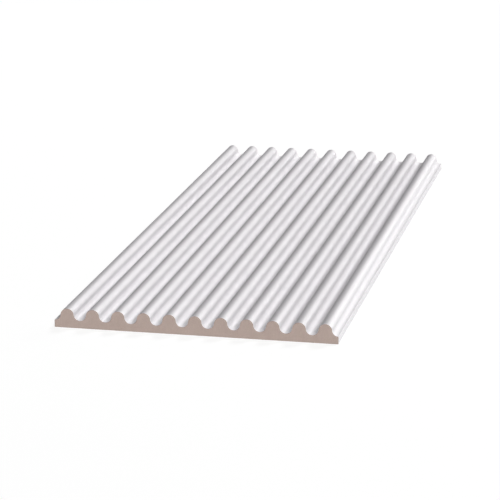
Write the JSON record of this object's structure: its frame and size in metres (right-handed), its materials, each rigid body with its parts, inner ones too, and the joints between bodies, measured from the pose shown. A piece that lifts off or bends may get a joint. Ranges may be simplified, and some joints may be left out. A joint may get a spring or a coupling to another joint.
{
  "type": "wall panel",
  "caption": "Flat-backed fibreboard wall panel with parallel round ridges and valleys along its white-primed face, glued to a wall side by side.",
  "frame": {"origin": "middle of the flat back, which lies on the floor in store and on the wall in use", "axes": "+X across the ridges, +Y along the ridges, +Z out of the back towards the room"},
  "size_m": [0.22, 0.594, 0.015],
  "materials": {
    "primed_fibreboard": "matt white primer on the waved face and the long edges, bare grey-brown fibreboard on the sawn ends and the back"
  },
  "bodies": {
    "root": {"wave_panel": "primed_fibreboard"}
  },
  "joints": []
}
